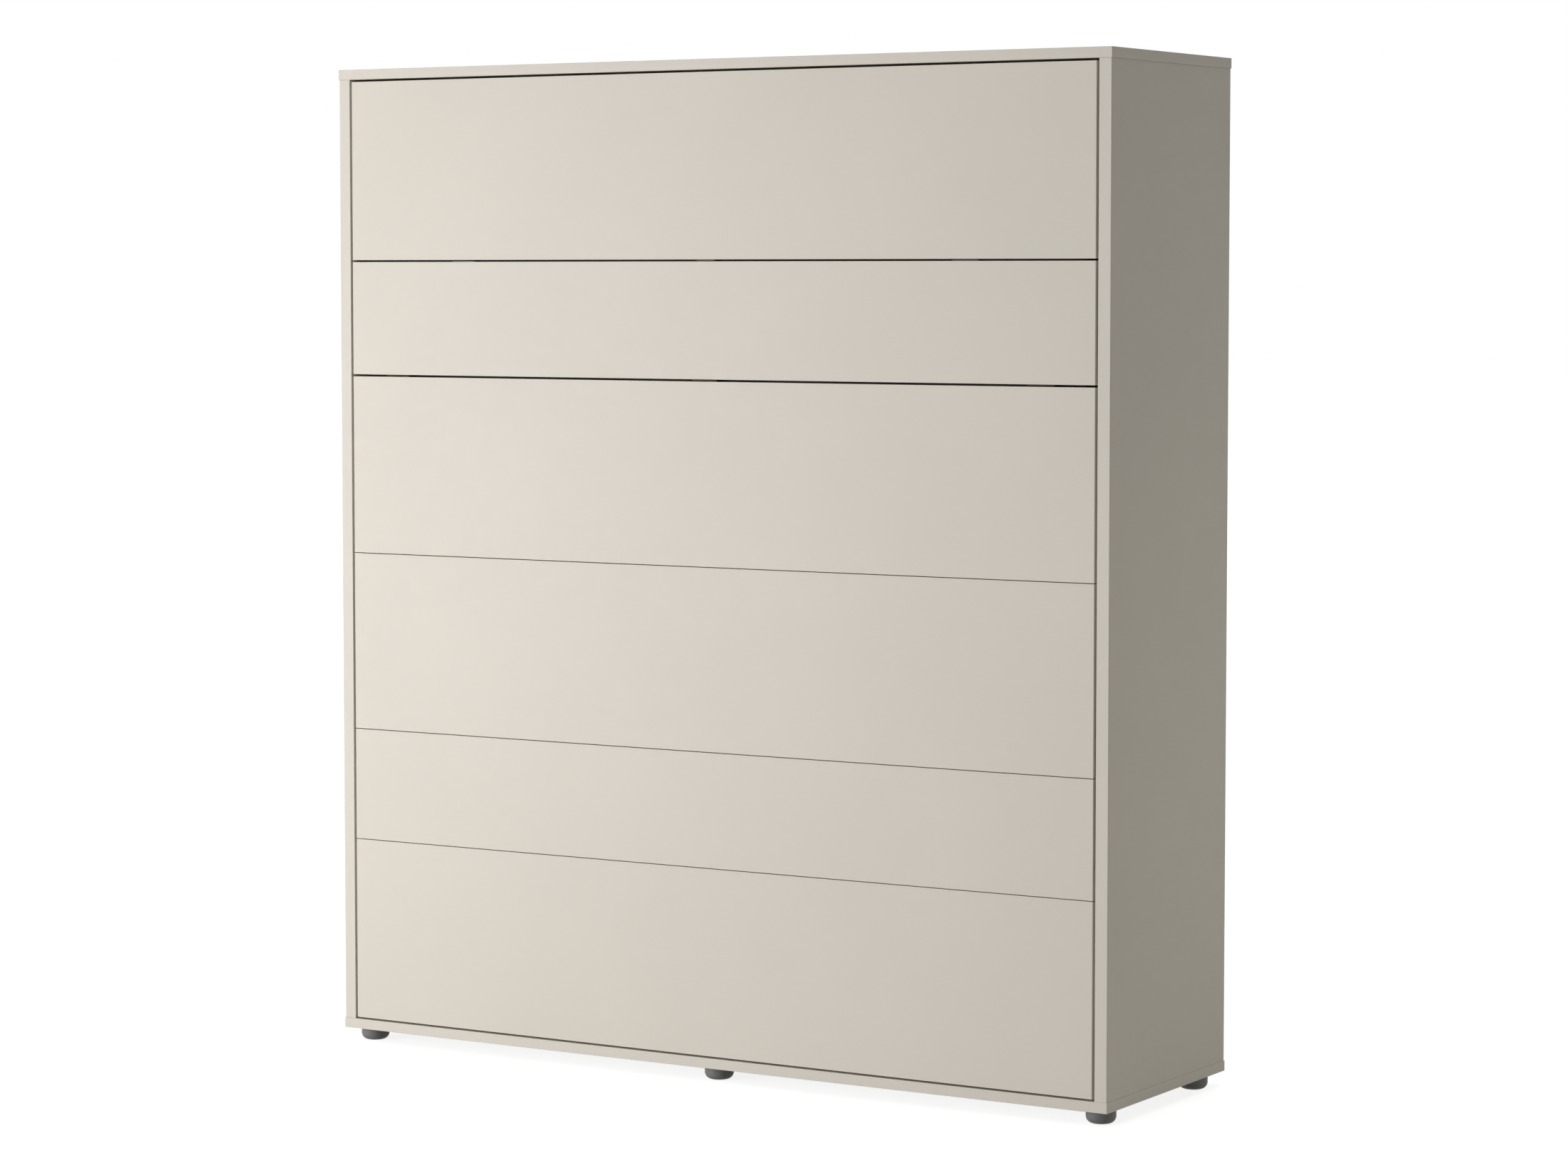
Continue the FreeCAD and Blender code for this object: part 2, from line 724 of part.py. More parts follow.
def catch_recess(name, z):
    reach = "(catch_length / 2 + mortise_clearance)"
    return block(name, (f"-{reach}", reach), ("catch_y - mortise_clearance",
                                              "catch_y + catch_width + mortise_clearance"), z)


def make_front_panels():
    width, depth = ("-(panel_half)", "panel_half"), ("front_face", "front_inner")
    for label, z in FRONT_PANELS.items():
        board = rounded_board(f"{label}_board", width, depth, z)
        if label == "upper_front_panel":
            board = cut(f"{label}_cut", board, hinge_mortises("fixed_mortise", (
                "upper_panel_top - leaf_thickness", "upper_panel_top + hinge_rise")))
        if label == "top_front_panel":
            board = cut(f"{label}_cut", board, [catch_recess("catch_mortise", (
                "top_panel_base - leg_seam", "top_panel_base + catch_height"))])
        keep(label, board)
    half = "catch_length / 2"
    catch = block("catch_body", (f"-{half}", half), ("catch_y", "catch_y + catch_width"),
                  ("top_panel_base - catch_proud", "top_panel_base + catch_height"))
    keep("leg_catch", catch)


def make_leg():
    board = rounded_board("leg_board", ("-(panel_half)", "panel_half"),
                          ("front_face", "front_inner - leg_back_gap"), ("leg_base", "leg_top"))
    tools = hinge_mortises("moving_mortise", ("hinge_z", "leg_base + leaf_thickness"))
    tools.append(catch_recess("strike_mortise", ("leg_top - strike_thickness", "leg_top + 1")))
    keep("leg_panel", cut("leg_panel_cut", board, tools))
    half = "catch_length / 2"
    keep("leg_strike", block("strike_plate", (f"-{half}", half), ("catch_y", "catch_y + catch_width"),
                             ("leg_top - strike_thickness", "leg_top")))
    length, width = "glide_length / 2", "glide_width / 2"
    glide = rounded_board("glide", (f"-{length}", length), (f"-{width}", width), ("0", "leg_glide"),
                          "glide_round")
    places = ("-(panel_half - glide_side_inset)", "panel_half - glide_side_inset")
    glides = [copy_at(f"glide_{i}", glide, x, "front_face + front_board / 2", "leg_top")
              for i, x in enumerate(places)]
    keep("leg_glides", group("leg_glides_group", glides))


def hinge_leaf(name, spans, leaf_z, web_z):
    """A hinge leaf about its own axis: flat leaf, webs and knuckles over the given spans of X."""
    half = "hinge_length / 2"
    pieces = [block(f"{name}_leaf", (f"-{half}", half), ("leaf_start", "leaf_depth"), leaf_z)]
    for i, span in enumerate(spans):
        pieces.append(block(f"{name}_web_{i}", span, ("leaf_start", "knuckle_radius"), web_z))
        pieces.append(round_bar(f"{name}_knuckle_{i}", "x", span, ("0", "0"), "2 * knuckle_radius"))
    bore = round_bar(f"{name}_bore", "x", (f"-{half} - 1", f"{half} + 1"), ("0", "0"),
                     "hinge_pin_diameter + 2 * fit_clearance")
    return cut(name, fuse(f"{name}_solid", pieces), [bore])


def make_leg_hinges():
    half, middle = "hinge_length / 2", "hinge_middle / 2"
    fixed = hinge_leaf("fixed_leaf", [(f"-{half}", f"-{middle}"), (middle, half)],
                       ("-hinge_rise - leaf_thickness", "-hinge_rise"), ("-hinge_rise - leaf_thickness", "0"))
    inner = f"({middle} - hinge_play)"
    above = "hinge_seam - hinge_rise"
    moving = hinge_leaf("moving_leaf", [(f"-{inner}", inner)], (above, f"{above} + leaf_thickness"),
                        ("0", f"{above} + leaf_thickness"))
    pin = round_bar("hinge_pin", "x", (f"-{half}", half), ("0", "0"), "hinge_pin_diameter")
    pieces = {"leg_hinge_leaves": fixed, "leg_moving_leaves": moving, "leg_hinge_pins": pin}
    for label, source in pieces.items():
        one = group(f"{label}_one", [source])
        copies = [copy_at(f"{label}_{i}", one, x, "hinge_y", "hinge_z") for i, x in enumerate(HINGE_PLACES)]
        keep(label, group(f"{label}_group", copies))


# Bed frame

RAIL_Y = ("front_inner", "rail_back")
HALF_RAIL = "rail_width / 2"
SEAM_HEIGHTS = ("bottom_panel_top + panel_seam / 2", "lower_panel_top + panel_seam / 2",
                "middle_panel_top + panel_seam / 2", "upper_panel_top + hinge_seam / 2",
                "leg_top + leg_seam / 2")
ARM_BOLTS = [("front_inner + bolt_front_inset", f"pivot_z + bolt_first + {i} * bolt_pitch") for i in range(3)]


def make_side_rails():
    """Upright side rails, drilled for the pivot bushes and the arms' bolts."""
    rail = tube("right_rail", "XY_Plane", ("rail_inner", "rail_outer"), RAIL_Y, ("frame_base", "frame_top"))
    wall = ("rail_outer - rail_wall - 1", "rail_outer + 1")
    drills = [round_bar("rail_bush_hole", "x", wall, ("pivot_y", "pivot_z"),
                        "bush_diameter + 2 * fit_clearance")]
    for i, spot in enumerate(ARM_BOLTS):
        drills.append(round_bar(f"rail_bolt_hole_{i}", "x", wall, spot, "bolt_diameter + 2 * fit_clearance"))
    right = keep("right_frame_rail", cut("right_frame_rail_cut", rail, drills))
    keep("left_frame_rail", mirror("left_frame_rail_mirror", right))


def cross_tube(name, middle):
    return tube(name, "YZ_Plane", RAIL_Y, (f"{middle} - ({HALF_RAIL})", f"{middle} + {HALF_RAIL}"),
                ("-(rail_inner)", "rail_inner"))


def make_cross_rails():
    """Tubes across the bed: one at each end and one behind each seam of the front."""
    keep("head_frame_rail", cross_tube("head_rail", "frame_base + rail_width / 2"))
    keep("foot_frame_rail", cross_tube("foot_rail", "frame_top - rail_width / 2"))
    rails = [cross_tube(f"cross_rail_{i}", height) for i, height in enumerate(SEAM_HEIGHTS)]
    keep("cross_frame_rails", group("cross_rails_group", rails))
    heights = ("frame_base + rail_width / 2", *SEAM_HEIGHTS, "frame_top - rail_width / 2")
    uprights = []
    for i, (low, high) in enumerate(zip(heights, heights[1:])):
        uprights.append(tube(f"centre_rail_{i}", "XY_Plane", (f"-{HALF_RAIL}", HALF_RAIL), RAIL_Y,
                             (f"{low} + {HALF_RAIL}", f"{high} - ({HALF_RAIL})")))
    keep("centre_frame_rails", group("centre_rails_group", uprights))


def make_rail_caps():
    """Plastic plugs in the open ends of the side rails."""
    depth = "rail_depth / 2"
    inset = "rail_wall + cap_clearance"
    lid = block("cap_lid", (f"-{HALF_RAIL}", HALF_RAIL), (f"-{depth}", depth), ("0", "cap_thickness"))
    spigot = rounded_board("cap_spigot_body", (f"-({HALF_RAIL}) + {inset}", f"{HALF_RAIL} - ({inset})"),
                           (f"-({depth}) + {inset}", f"{depth} - ({inset})"), ("-cap_spigot", "0.5"),
                           "rail_corner / 2")
    cap = fuse("rail_cap", [lid, spigot])
    holder = group("rail_cap_one", [cap])
    caps = []
    for x in ("rail_outer - rail_width / 2", "-(rail_outer - rail_width / 2)"):
        y = "front_inner + rail_depth / 2"
        caps.append(copy_at(f"cap_{len(caps)}", holder, x, y, "frame_top"))
        caps.append(copy_at(f"cap_{len(caps)}", holder, x, y, "frame_base", UPSIDE_DOWN))
    keep("rail_end_caps", group("rail_end_caps_group", caps))


def panel_bracket(name, side):
    """A welded angle in the corner of a rail and a front board, reaching to the given side of X."""
    body = doc.addObject("PartDesign::Body", f"{name}_body")
    sketch = sketch_on(body, "XY_Plane", f"{name}_profile")
    arm, thick = f"{side} * bracket_length", f"{side} * bracket_thickness"
    polygon(sketch, [("0", "0"), (arm, "0"), (arm, "bracket_thickness"), (thick, "bracket_thickness"),
                     (thick, "bracket_height"), ("0", "bracket_height")])
    pad(body, sketch, "bracket_length")
    hole = round_bar(f"{name}_hole", "y", ("-1", "bracket_thickness + 1"),
                     (f"{side} * bracket_hole", "bracket_length / 2"), "panel_screw + 2 * fit_clearance")
    return group(f"{name}_one", [cut(name, body, [hole])])


def make_panel_brackets():
    rightwards, leftwards = panel_bracket("bracket_rightwards", 1), panel_bracket("bracket_leftwards", -1)
    middle = ("0", "0")
    shank_span = ("-panel_screw_grip", "bracket_thickness")
    head_span = ("bracket_thickness", "bracket_thickness + wood_screw_head_height")
    shank = round_bar("panel_screw_shank", "y", shank_span, middle, "panel_screw")
    head = round_bar("panel_screw_head", "y", head_span, middle, "wood_screw_head")
    screw = group("panel_screw_one", [fuse("panel_screw_solid", [shank, head])])
    columns = [("rail_inner", leftwards, -1), (HALF_RAIL, rightwards, 1), (f"-{HALF_RAIL}", leftwards, -1),
               ("-(rail_inner)", rightwards, 1)]
    brackets, screws = [], []
    for base, top in FRONT_PANELS.values():
        for height in (f"{base} + bracket_inset", f"{top} - (bracket_inset)"):
            bracket_base = f"{height} - bracket_length / 2"
            for x, bracket, side in columns:
                i = len(brackets)
                screw_x = f"{x} + {side} * bracket_hole"
                brackets.append(copy_at(f"bracket_{i}", bracket, x, "front_inner", bracket_base))
                screws.append(copy_at(f"panel_screw_{i}", screw, screw_x, "front_inner", height))
    keep("panel_brackets", group("panel_brackets_group", brackets))
    keep("panel_screws", group("panel_screws_group", screws))


# Pivot arms on the bed

def make_pivot_arms():
    fit = "2 * fit_clearance"
    holes = [(y, z, f"bolt_diameter + {fit}") for y, z in ARM_BOLTS]
    holes.append(("pivot_y", "pivot_z", f"bush_diameter + {fit}"))
    holes.append(("spring_y", "lower_stud_z", f"stud_diameter + {fit}"))
    right = plate("right_pivot_arm_body", ("rail_outer", "arm_outer"),
                  ("front_inner + arm_front_gap", "spring_y + arm_margin"),
                  ("lower_stud_z - arm_margin", "pivot_z + arm_rise"), "arm_corner", holes)
    keep("right_pivot_arm", right)
    keep("left_pivot_arm", mirror("left_pivot_arm_mirror", right))
    bolts = []
    shank_span = ("rail_outer - bolt_grip", "arm_outer")
    for i, spot in enumerate(ARM_BOLTS):
        bolt = round_bar(f"arm_bolt_shank_{i}", "x", shank_span, spot, "bolt_diameter")
        hexagon = doc.addObject("Part::Prism", f"arm_bolt_head_{i}")
        hexagon.Polygon = 6
        bind(hexagon, "Circumradius", "bolt_head / 2 / cos(30 * 1 deg)")
        bind(hexagon, "Height", "bolt_head_height")
        put(hexagon, "arm_outer", *spot, turn=ALONG_X)
        bolts.append(fuse(f"arm_bolt_{i}", [bolt, hexagon]))
    keep("pivot_arm_bolts", pair("pivot_arm_bolts_group", group("right_arm_bolts", bolts)))
    bore, outside = "pin_diameter / 2 + fit_clearance", "bush_diameter / 2"
    bush = turned("pivot_bush", [(bore, "arm_outer - (bush_length)"), (outside, "arm_outer - (bush_length)"),
                                 (outside, "arm_outer"), (bore, "arm_outer")])
    right_bush = copy_at("right_pivot_bush", bush, "0", "pivot_y", "pivot_z", ALONG_X)
    keep("pivot_bushes", pair("pivot_bushes_group", right_bush))
    thin, shoulder = "stud_diameter / 2", "stud_shoulder / 2"
    inner_end, outer_end = "eye_low - running_gap", "eye_high + running_gap"
    tip = f"{outer_end} + stud_head"
    profile = [("0", "rail_outer"), (thin, "rail_outer"), (thin, "arm_outer"), (shoulder, "arm_outer"),
               (shoulder, inner_end), (thin, inner_end), (thin, outer_end), (shoulder, outer_end),
               (shoulder, tip), ("0", tip)]
    stud = turned("lower_stud", profile)
    right_stud = copy_at("right_lower_stud", stud, "0", "spring_y", "lower_stud_z", ALONG_X)
    keep("lower_spring_studs", pair("lower_spring_studs_group", right_stud))


# Gas springs, upright beside the bed when it is closed

SPRING_AXIS = ("spring_x", "spring_y")


def spring_eye(name, z):
    eye = round_bar(f"{name}_eye", "x", ("eye_low", "eye_high"), ("spring_y", z), "eye_diameter")
    hole = round_bar(f"{name}_hole", "x", ("eye_low - 1", "eye_high + 1"), ("spring_y", z),
                     "stud_diameter + 2 * fit_clearance")
    return eye, hole


def make_gas_springs():
    eye, hole = spring_eye("cylinder", "upper_stud_z")
    end, shoulder = "upper_stud_z - (cylinder_reach)", "upper_stud_z - (eye_diameter / 2)"
    shell = round_bar("cylinder_shell", "z", (end, shoulder), SPRING_AXIS, "cylinder_diameter")
    neck = round_bar("cylinder_neck", "z", (f"{shoulder} - 1", "upper_stud_z"), SPRING_AXIS, "eye_width")
    chamber = (f"{end} + cylinder_cap", f"{shoulder} - cylinder_cap")
    bore = round_bar("cylinder_bore", "z", chamber, SPRING_AXIS, "cylinder_diameter - 2 * cylinder_wall")
    mouth = round_bar("cylinder_mouth", "z", (f"{end} - 1", f"{end} + cylinder_cap + 1"), SPRING_AXIS,
                      "rod_diameter + 2 * slide_gap")
    solid = fuse("cylinder_solid", [shell, neck, eye])
    hollow = fuse("cylinder_hollow", [bore, mouth])
    cylinder = cut("right_cylinder", solid, [hollow, hole])
    keep("right_spring_cylinder", cylinder)
    keep("left_spring_cylinder", mirror("left_cylinder_mirror", cylinder))

    eye, hole = spring_eye("rod", "lower_stud_z")
    tip = "lower_stud_z + rod_reach"
    bar = round_bar("rod_bar", "z", ("lower_stud_z", tip), SPRING_AXIS, "rod_diameter")
    piston = round_bar("rod_piston", "z", (f"{tip} - piston_length", tip), SPRING_AXIS,
                       "cylinder_diameter - 2 * cylinder_wall - 2 * slide_gap")
    rod = cut("right_rod", fuse("rod_solid", [bar, piston, eye]), [hole])
    keep("right_spring_rod", rod)
    keep("left_spring_rod", mirror("left_rod_mirror", rod))


# Slats

def make_slats():
    """Sprung slats bowed towards the mattress, repeated up the bed on each side of the centre rail."""
    body = doc.addObject("PartDesign::Body", "right_slats_body")
    sketch = sketch_on(body, "XY_Plane", "slat_outline", "first_slat - slat_width / 2")
    low = "rail_back + slat_seat"
    high = f"{low} + slat_thickness"
    middle = number("(slat_inner + slat_outer) / 2")
    for edge in (low, high):
        arc = Part.Arc(Vector(number("slat_outer"), number(edge), 0),
                       Vector(middle, number(f"{edge} + slat_camber"), 0),
                       Vector(number("slat_inner"), number(edge), 0))
        sketch.addGeometry(arc)
    for x in ("slat_outer", "slat_inner"):
        bottom, top = (Vector(number(x), number(edge), 0) for edge in (low, high))
        sketch.addGeometry(Part.LineSegment(bottom, top))
    for arc, edge in ((0, low), (1, high)):
        fix_point(sketch, arc, 1, "slat_outer", edge)
        fix_point(sketch, arc, 2, "slat_inner", edge)
        size_constraint(sketch, "Radius", arc, text="slat_radius")
    for line, end in ((2, 1), (3, 2)):
        sketch.addConstraint(Sketcher.Constraint("Coincident", line, 1, 0, end))
        sketch.addConstraint(Sketcher.Constraint("Coincident", line, 2, 1, end))
    slat = pad(body, sketch, "slat_width")
    doc.recompute()
    rows = body.newObject("PartDesign::LinearPattern", "slat_row_pattern")
    rows.Originals = [slat]
    rows.Direction = (origin_feature(body, "Z_Axis"), [""])
    rows.Mode = "Spacing"
    bind(rows, "Offset", "slat_pitch")
    bind(rows, "Occurrences", "slat_rows")
    body.Tip = rows
    keep("right_slats", body)
    keep("left_slats", mirror("left_slats_mirror", body))


def make_slat_holders():
    """Plastic pockets on the rails that take the slats' ends."""
    height = "(slat_width / 2 + holder_wall)"
    y, z = ("0", "holder_height"), (f"-{height}", height)
    slot_height = "(slat_width / 2 + slat_clearance)"
    slot_y = ("slat_seat - slat_clearance", "slat_seat - slat_clearance + holder_slot")
    slot_z = (f"-{slot_height}", slot_height)
    side = cut("side_holder", block("side_holder_block", ("-holder_length", "0"), y, z),
               [block("side_holder_slot", ("-holder_length - 1", "-holder_back"), slot_y, slot_z)])
    web = "holder_back / 2"
    centre = cut("centre_holder", block("centre_holder_block", ("-holder_length", "holder_length"), y, z),
                 [block("centre_holder_slot_right", (web, "holder_length + 1"), slot_y, slot_z),
                  block("centre_holder_slot_left", ("-holder_length - 1", f"-{web}"), slot_y, slot_z)])
    side_one, centre_one = group("side_holder_one", [side]), group("centre_holder_one", [centre])
    sides, centres = [], []
    for i in range(int(number("slat_rows"))):
        row_z = f"first_slat + {i} * slat_pitch"
        sides.append(copy_at(f"right_holder_{i}", side_one, "rail_outer", "rail_back", row_z))
        sides.append(copy_at(f"left_holder_{i}", side_one, "-(rail_outer)", "rail_back", row_z, UPSIDE_DOWN))
        centres.append(copy_at(f"centre_holder_{i}", centre_one, "0", "rail_back", row_z))
    keep("side_slat_holders", group("side_holders_group", sides))
    keep("centre_slat_holders", group("centre_holders_group", centres))


# Mattress and what holds it

def make_mattress():
    half = "mattress_width / 2"
    keep("mattress", rounded_board("mattress_body", (f"-{half}", half), ("mattress_front", "mattress_back"),
                                   ("mattress_base", "mattress_top"), "mattress_round"))


def make_mattress_stops():
    """Bent steel hoops on the head rail that the mattress stands on while the bed is closed."""
    body = doc.addObject("PartDesign::Body", "stop_hoop")
    path = sketch_on(body, "XY_Plane", "hoop_path")
    half = "(stop_width / 2)"
    bend = f"({half} - stop_bend)"
    centre_y = "stop_reach - stop_bend"
    size = number("stop_bend")
    right = Part.Circle(Vector(number(bend), number(centre_y), 0), Vector(0, 0, 1), size)
    left = Part.Circle(Vector(-number(bend), number(centre_y), 0), Vector(0, 0, 1), size)
    right_bend = Part.ArcOfCircle(right, 0, math.pi / 2)
    left_bend = Part.ArcOfCircle(left, math.pi / 2, math.pi)
    foot = Vector(number(half), 0, 0)
    path.addGeometry(Part.LineSegment(foot, right_bend.StartPoint))
    path.addGeometry(right_bend)
    path.addGeometry(Part.LineSegment(right_bend.EndPoint, left_bend.StartPoint))
    path.addGeometry(left_bend)
    path.addGeometry(Part.LineSegment(left_bend.EndPoint, Vector(-foot.x, 0, 0)))
    for piece in range(4):
        path.addConstraint(Sketcher.Constraint("Tangent", piece, 2, piece + 1, 1))
    for bend_arc, x in ((1, bend), (3, f"-{bend}")):
        fix_point(path, bend_arc, 3, x, centre_y)
        size_constraint(path, "Radius", bend_arc, text="stop_bend")
    size_constraint(path, "DistanceY", -1, 1, 0, 1, text="0 * stop_reach")
    size_constraint(path, "DistanceY", -1, 1, 4, 2, text="0 * stop_reach")
    section = sketch_on(body, "XZ_Plane", "hoop_section")
    circle(section, half, "0", "stop_tube")
    pipe = body.newObject("PartDesign::AdditivePipe", "hoop_pipe")
    pipe.Profile = section
    pipe.Spine = (path, [f"Edge{i}" for i in range(1, 6)])
    hoops = [copy_at(f"hoop_{i}", body, f"{side}(stop_spacing / 2)", "rail_back", "stop_z")
             for i, side in enumerate(("", "-"))]
    keep("mattress_stops", group("mattress_stops_group", hoops))


STRAP_HEIGHTS = ("strap_low", "strap_high")
HALF_STRAP = "strap_width / 2"


def make_straps():
    """Elastic webbing over the mattress, riveted under a plate to each side rail."""
    straps, anchors, buckles = [], [], []
    outer = "strap_side + strap_thickness"
    plate_start = f"{outer} + strap_gap"
    plate_end = f"{plate_start} + anchor_thickness"
    rivet_y = "strap_end + anchor_height / 2"
    for i, height in enumerate(STRAP_HEIGHTS):
        z = (f"{height} - {HALF_STRAP}", f"{height} + {HALF_STRAP}")
        top = "strap_back + strap_thickness"
        right = block(f"strap_right_{i}", ("strap_side", outer), ("strap_end", top), z)
        over = block(f"strap_over_{i}", (f"-({outer})", outer), ("strap_back", top), z)
        rivets, holes = [], []
        for j, side in enumerate(("+", "-")):
            spot = (rivet_y, f"{height} {side} rivet_spacing / 2")
            rivets.append(round_bar(f"rivet_{i}_{j}", "x", ("rail_outer", plate_end), spot, "rivet_diameter"))
            holes.append(round_bar(f"rivet_hole_{i}_{j}", "x", ("rail_outer", f"{outer} + 1"), spot,
                                   "rivet_diameter + 2 * strap_gap"))
        all_holes = holes + [mirror(f"{hole.Name}_left", hole) for hole in holes]
        band = fuse(f"strap_band_{i}", [right, mirror(f"strap_left_{i}", right), over])
        straps.append(cut(f"strap_{i}", band, all_holes))
        cover_y = ("strap_end", "strap_end + anchor_height")
        cover = block(f"anchor_cover_{i}", (plate_start, plate_end), cover_y, z)
        anchor = fuse(f"anchor_{i}", [cover, *rivets])
        anchors += [anchor, mirror(f"anchor_left_{i}", anchor)]
        half = "buckle_length / 2"
        frame_y = ("strap_back - strap_gap / 2", "strap_back + buckle_thickness")
        frame_z = (f"{z[0]} - buckle_border", f"{z[1]} + buckle_border")
        slot_y = ("strap_back - strap_gap", f"{top} + strap_gap")
        slot_z = (f"{z[0]} - strap_gap", f"{z[1]} + strap_gap")
        frame = block(f"buckle_frame_{i}", (f"-{half}", half), frame_y, frame_z)
        slot = block(f"buckle_slot_{i}", (f"-{half} - 1", f"{half} + 1"), slot_y, slot_z)
        buckles.append(cut(f"buckle_{i}", frame, [slot]))
    keep("mattress_straps", group("mattress_straps_group", straps))
    keep("strap_anchors", group("strap_anchors_group", anchors))
    keep("strap_buckles", group("strap_buckles_group", buckles))


def build():
    make_sides()
    make_end_boards()
    make_back_boards()
    make_feet()
    make_pivot_plates()
    make_pivot_pins()
    make_upper_studs()
    make_closed_stops()
    make_front_panels()
    make_leg()
    make_leg_hinges()
    make_side_rails()
    make_cross_rails()
    make_rail_caps()
    make_panel_brackets()
    make_pivot_arms()
    make_gas_springs()
    make_slats()
    make_slat_holders()
    make_mattress()
    make_mattress_stops()
    make_straps()
    doc.removeObject(guess.Name)
    doc.recompute()


def check():
    """Stops before anything is written if a feature failed or a sub-part is empty or broken."""
    for item in doc.Objects:
        if "Invalid" in item.State or "Error" in item.State:
            raise RuntimeError(f"{item.Label} failed: {item.State}")
    for item in sub_parts:
        if item.Shape.isNull() or not item.Shape.isValid() or not item.Shape.Solids:
            raise RuntimeError(f"{item.Label} has no valid solid")


build()
check()
os.makedirs("parts", exist_ok=True)
for item in sub_parts:
    item.Shape.exportStep(f"parts/{item.Label}.step")
print(len(sub_parts), "sub-parts written")
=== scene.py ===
import json
import math

import bmesh
import bpy
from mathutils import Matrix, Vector, noise


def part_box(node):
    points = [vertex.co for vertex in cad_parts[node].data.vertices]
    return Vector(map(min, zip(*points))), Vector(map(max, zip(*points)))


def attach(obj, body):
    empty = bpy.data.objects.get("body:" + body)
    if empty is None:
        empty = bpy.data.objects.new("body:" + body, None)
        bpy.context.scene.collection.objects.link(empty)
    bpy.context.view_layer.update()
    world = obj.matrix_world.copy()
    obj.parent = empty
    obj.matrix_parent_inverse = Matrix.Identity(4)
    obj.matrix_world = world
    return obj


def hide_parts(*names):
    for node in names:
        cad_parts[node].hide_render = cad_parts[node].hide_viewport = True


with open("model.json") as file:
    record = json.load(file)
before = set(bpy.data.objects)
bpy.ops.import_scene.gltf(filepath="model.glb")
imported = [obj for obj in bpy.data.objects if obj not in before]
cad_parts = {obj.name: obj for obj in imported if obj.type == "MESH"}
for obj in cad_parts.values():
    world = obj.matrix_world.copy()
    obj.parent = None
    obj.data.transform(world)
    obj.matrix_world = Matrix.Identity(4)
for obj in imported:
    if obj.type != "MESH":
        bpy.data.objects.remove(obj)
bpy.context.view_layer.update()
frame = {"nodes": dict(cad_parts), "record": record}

scene = bpy.context.scene
MM = 0.001


# Node helpers

# The span that holds nearly all values of a noise texture
NOISE_SPAN = (0.3, 0.7)
FULL_SPAN = (0, 1)
# Radians that a wave texture turns through in a metre at scale 1
WAVE_RATE = 20


def add(tree, kind, inputs=None, **properties):
    """Adds a node, sets its own properties and the values of its named inputs."""
    made = tree.nodes.new(kind)
    for name, value in properties.items():
        setattr(made, name, value)
    for name, value in (inputs or {}).items():
        made.inputs[name].default_value = value
    return made


def new_material(name, **sockets):
    """A material with a Principled shader whose constant sockets are set directly."""
    made = bpy.data.materials.new(name)
    made.use_nodes = True
    shader = made.node_tree.nodes["Principled BSDF"]
    for socket, value in sockets.items():
        shader.inputs[socket.replace("_", " ")].default_value = value
    return made, made.node_tree, shader


def place_of(tree, scale=(1, 1, 1), rotation=(0, 0, 0)):
    """The point of the surface in metres, stretched and turned for a texture."""
    coords = add(tree, "ShaderNodeTexCoord")
    mapping = add(tree, "ShaderNodeMapping", {"Scale": scale, "Rotation": rotation})
    tree.links.new(coords.outputs["Object"], mapping.inputs["Vector"])
    return mapping.outputs["Vector"]


def noise_at(tree, vector, scale, detail):
    """Soft noise with about a given number of spots to the metre."""
    texture = add(tree, "ShaderNodeTexNoise", {"Scale": scale, "Detail": detail})
    tree.links.new(vector, texture.inputs["Vector"])
    return texture.outputs["Fac"]


def bands_at(tree, vector, pitch, direction):
    """Soft stripes a given pitch apart, in metres."""
    texture = add(tree, "ShaderNodeTexWave", {"Scale": 2 * math.pi / (WAVE_RATE * pitch)},
                  wave_type="BANDS", bands_direction=direction)
    tree.links.new(vector, texture.inputs["Vector"])
    return texture.outputs["Fac"]


def remap(tree, value, low, high, source=NOISE_SPAN):
    """A texture's value carried over from its source span to the range low to high."""
    ranged = add(tree, "ShaderNodeMapRange", {"From Min": source[0], "From Max": source[1],
                                              "To Min": low, "To Max": high})
    tree.links.new(value, ranged.inputs["Value"])
    return ranged.outputs["Result"]


def multiply(tree, first, second):
    product = add(tree, "ShaderNodeMath", operation="MULTIPLY")
    tree.links.new(first, product.inputs[0])
    tree.links.new(second, product.inputs[1])
    return product.outputs["Value"]


def colour_between(tree, factor, first, second):
    """The first colour where the factor is 0, the second where it is 1."""
    mix = add(tree, "ShaderNodeMix", data_type="RGBA")
    colours = [socket for socket in mix.inputs if socket.type == "RGBA"]
    colours[0].default_value = (*first, 1)
    colours[1].default_value = (*second, 1)
    tree.links.new(factor, mix.inputs["Factor"])
    return next(socket for socket in mix.outputs if socket.type == "RGBA")


def shades(colour, spread):
    """A darker and a lighter shade of a colour, each a given share away from it."""
    return [tuple(channel * (1 + side * spread) for channel in colour) for side in (-1, 1)]


def paint(tree, shader, factor, first, second):
    """Lets a factor choose the base colour between two colours."""
    tree.links.new(colour_between(tree, factor, first, second), shader.inputs["Base Color"])


def roughen(tree, shader, value, low, high):
    """Lets a noise set the roughness between low and high."""
    tree.links.new(remap(tree, value, low, high), shader.inputs["Roughness"])


def bump(tree, shader, height, strength, distance):
    """Lets a texture raise the surface by up to a distance in metres."""
    relief = add(tree, "ShaderNodeBump", {"Strength": strength, "Distance": distance})
    tree.links.new(height, relief.inputs["Height"])
    tree.links.new(relief.outputs["Normal"], shader.inputs["Normal"])


# Materials

